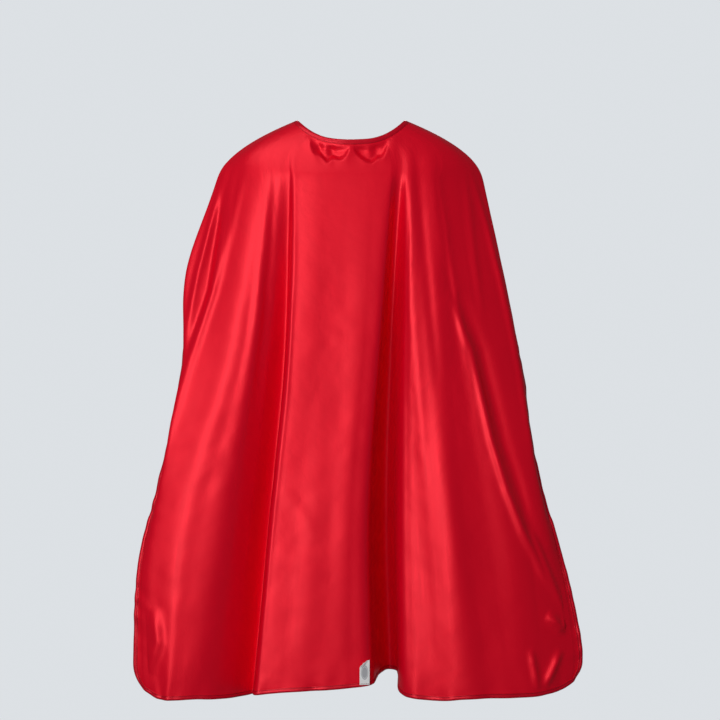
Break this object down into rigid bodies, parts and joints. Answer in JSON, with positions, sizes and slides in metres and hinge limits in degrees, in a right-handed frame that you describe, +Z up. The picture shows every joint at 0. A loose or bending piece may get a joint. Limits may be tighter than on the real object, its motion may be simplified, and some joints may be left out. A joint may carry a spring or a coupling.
{
  "type": "superhero cape",
  "caption": "Costume cape hanging as on a flat hanger: gathered satin train with turned hem, bound neckline and hook-and-loop throat closure.",
  "frame": {"origin": "middle of the neck opening, level with the two points where neck and shoulder meet", "axes": "+Z up, +Y the way the wearer faces, so that the outside of the cape faces -Y, +X to the wearer's right"},
  "size_m": [0.8497, 0.1615, 1.1032],
  "materials": {
    "satin": "glossy polyester satin",
    "hem_satin": "turned satin hem",
    "binding": "satin bias binding",
    "thread": "polyester sewing thread",
    "loop_tape": "soft loop pile",
    "hook_tape": "stiff nylon hooks",
    "label": "woven satin ribbon"
  },
  "bodies": {
    "collar": {"yoke_panel": "satin", "yoke_hem": "hem_satin", "yoke_hem_thread": "thread", "neck_binding": "binding", "neck_binding_thread": "thread", "under_tab": "binding", "loop_tape": "loop_tape"},
    "train": {"train_panel": "satin", "train_hem": "hem_satin", "train_hem_thread": "thread"},
    "closure": {"over_tab": "binding", "hook_tape": "hook_tape"},
    "label": {"label": "label"}
  },
  "joints": [
    {"name": "train_lift", "type": "hinge", "parent": "collar", "child": "train", "pos_m": [0, -0.066, -0.11], "axis": [-1, 0, 0], "range_deg": [0, 75]},
    {"name": "tab_peel", "type": "hinge", "parent": "collar", "child": "closure", "pos_m": [-0.0192, 0.05265, -0.0639], "axis": [0, 0, 1], "range_deg": [0, 130]},
    {"name": "label_flip", "type": "hinge", "parent": "train", "child": "label", "pos_m": [0.02568, -0.10669, -1.06467], "axis": [0.9829, 0.1843, 0], "range_deg": [0, 165], "stiffness_Nm_per_rad": 0.002}
  ]
}
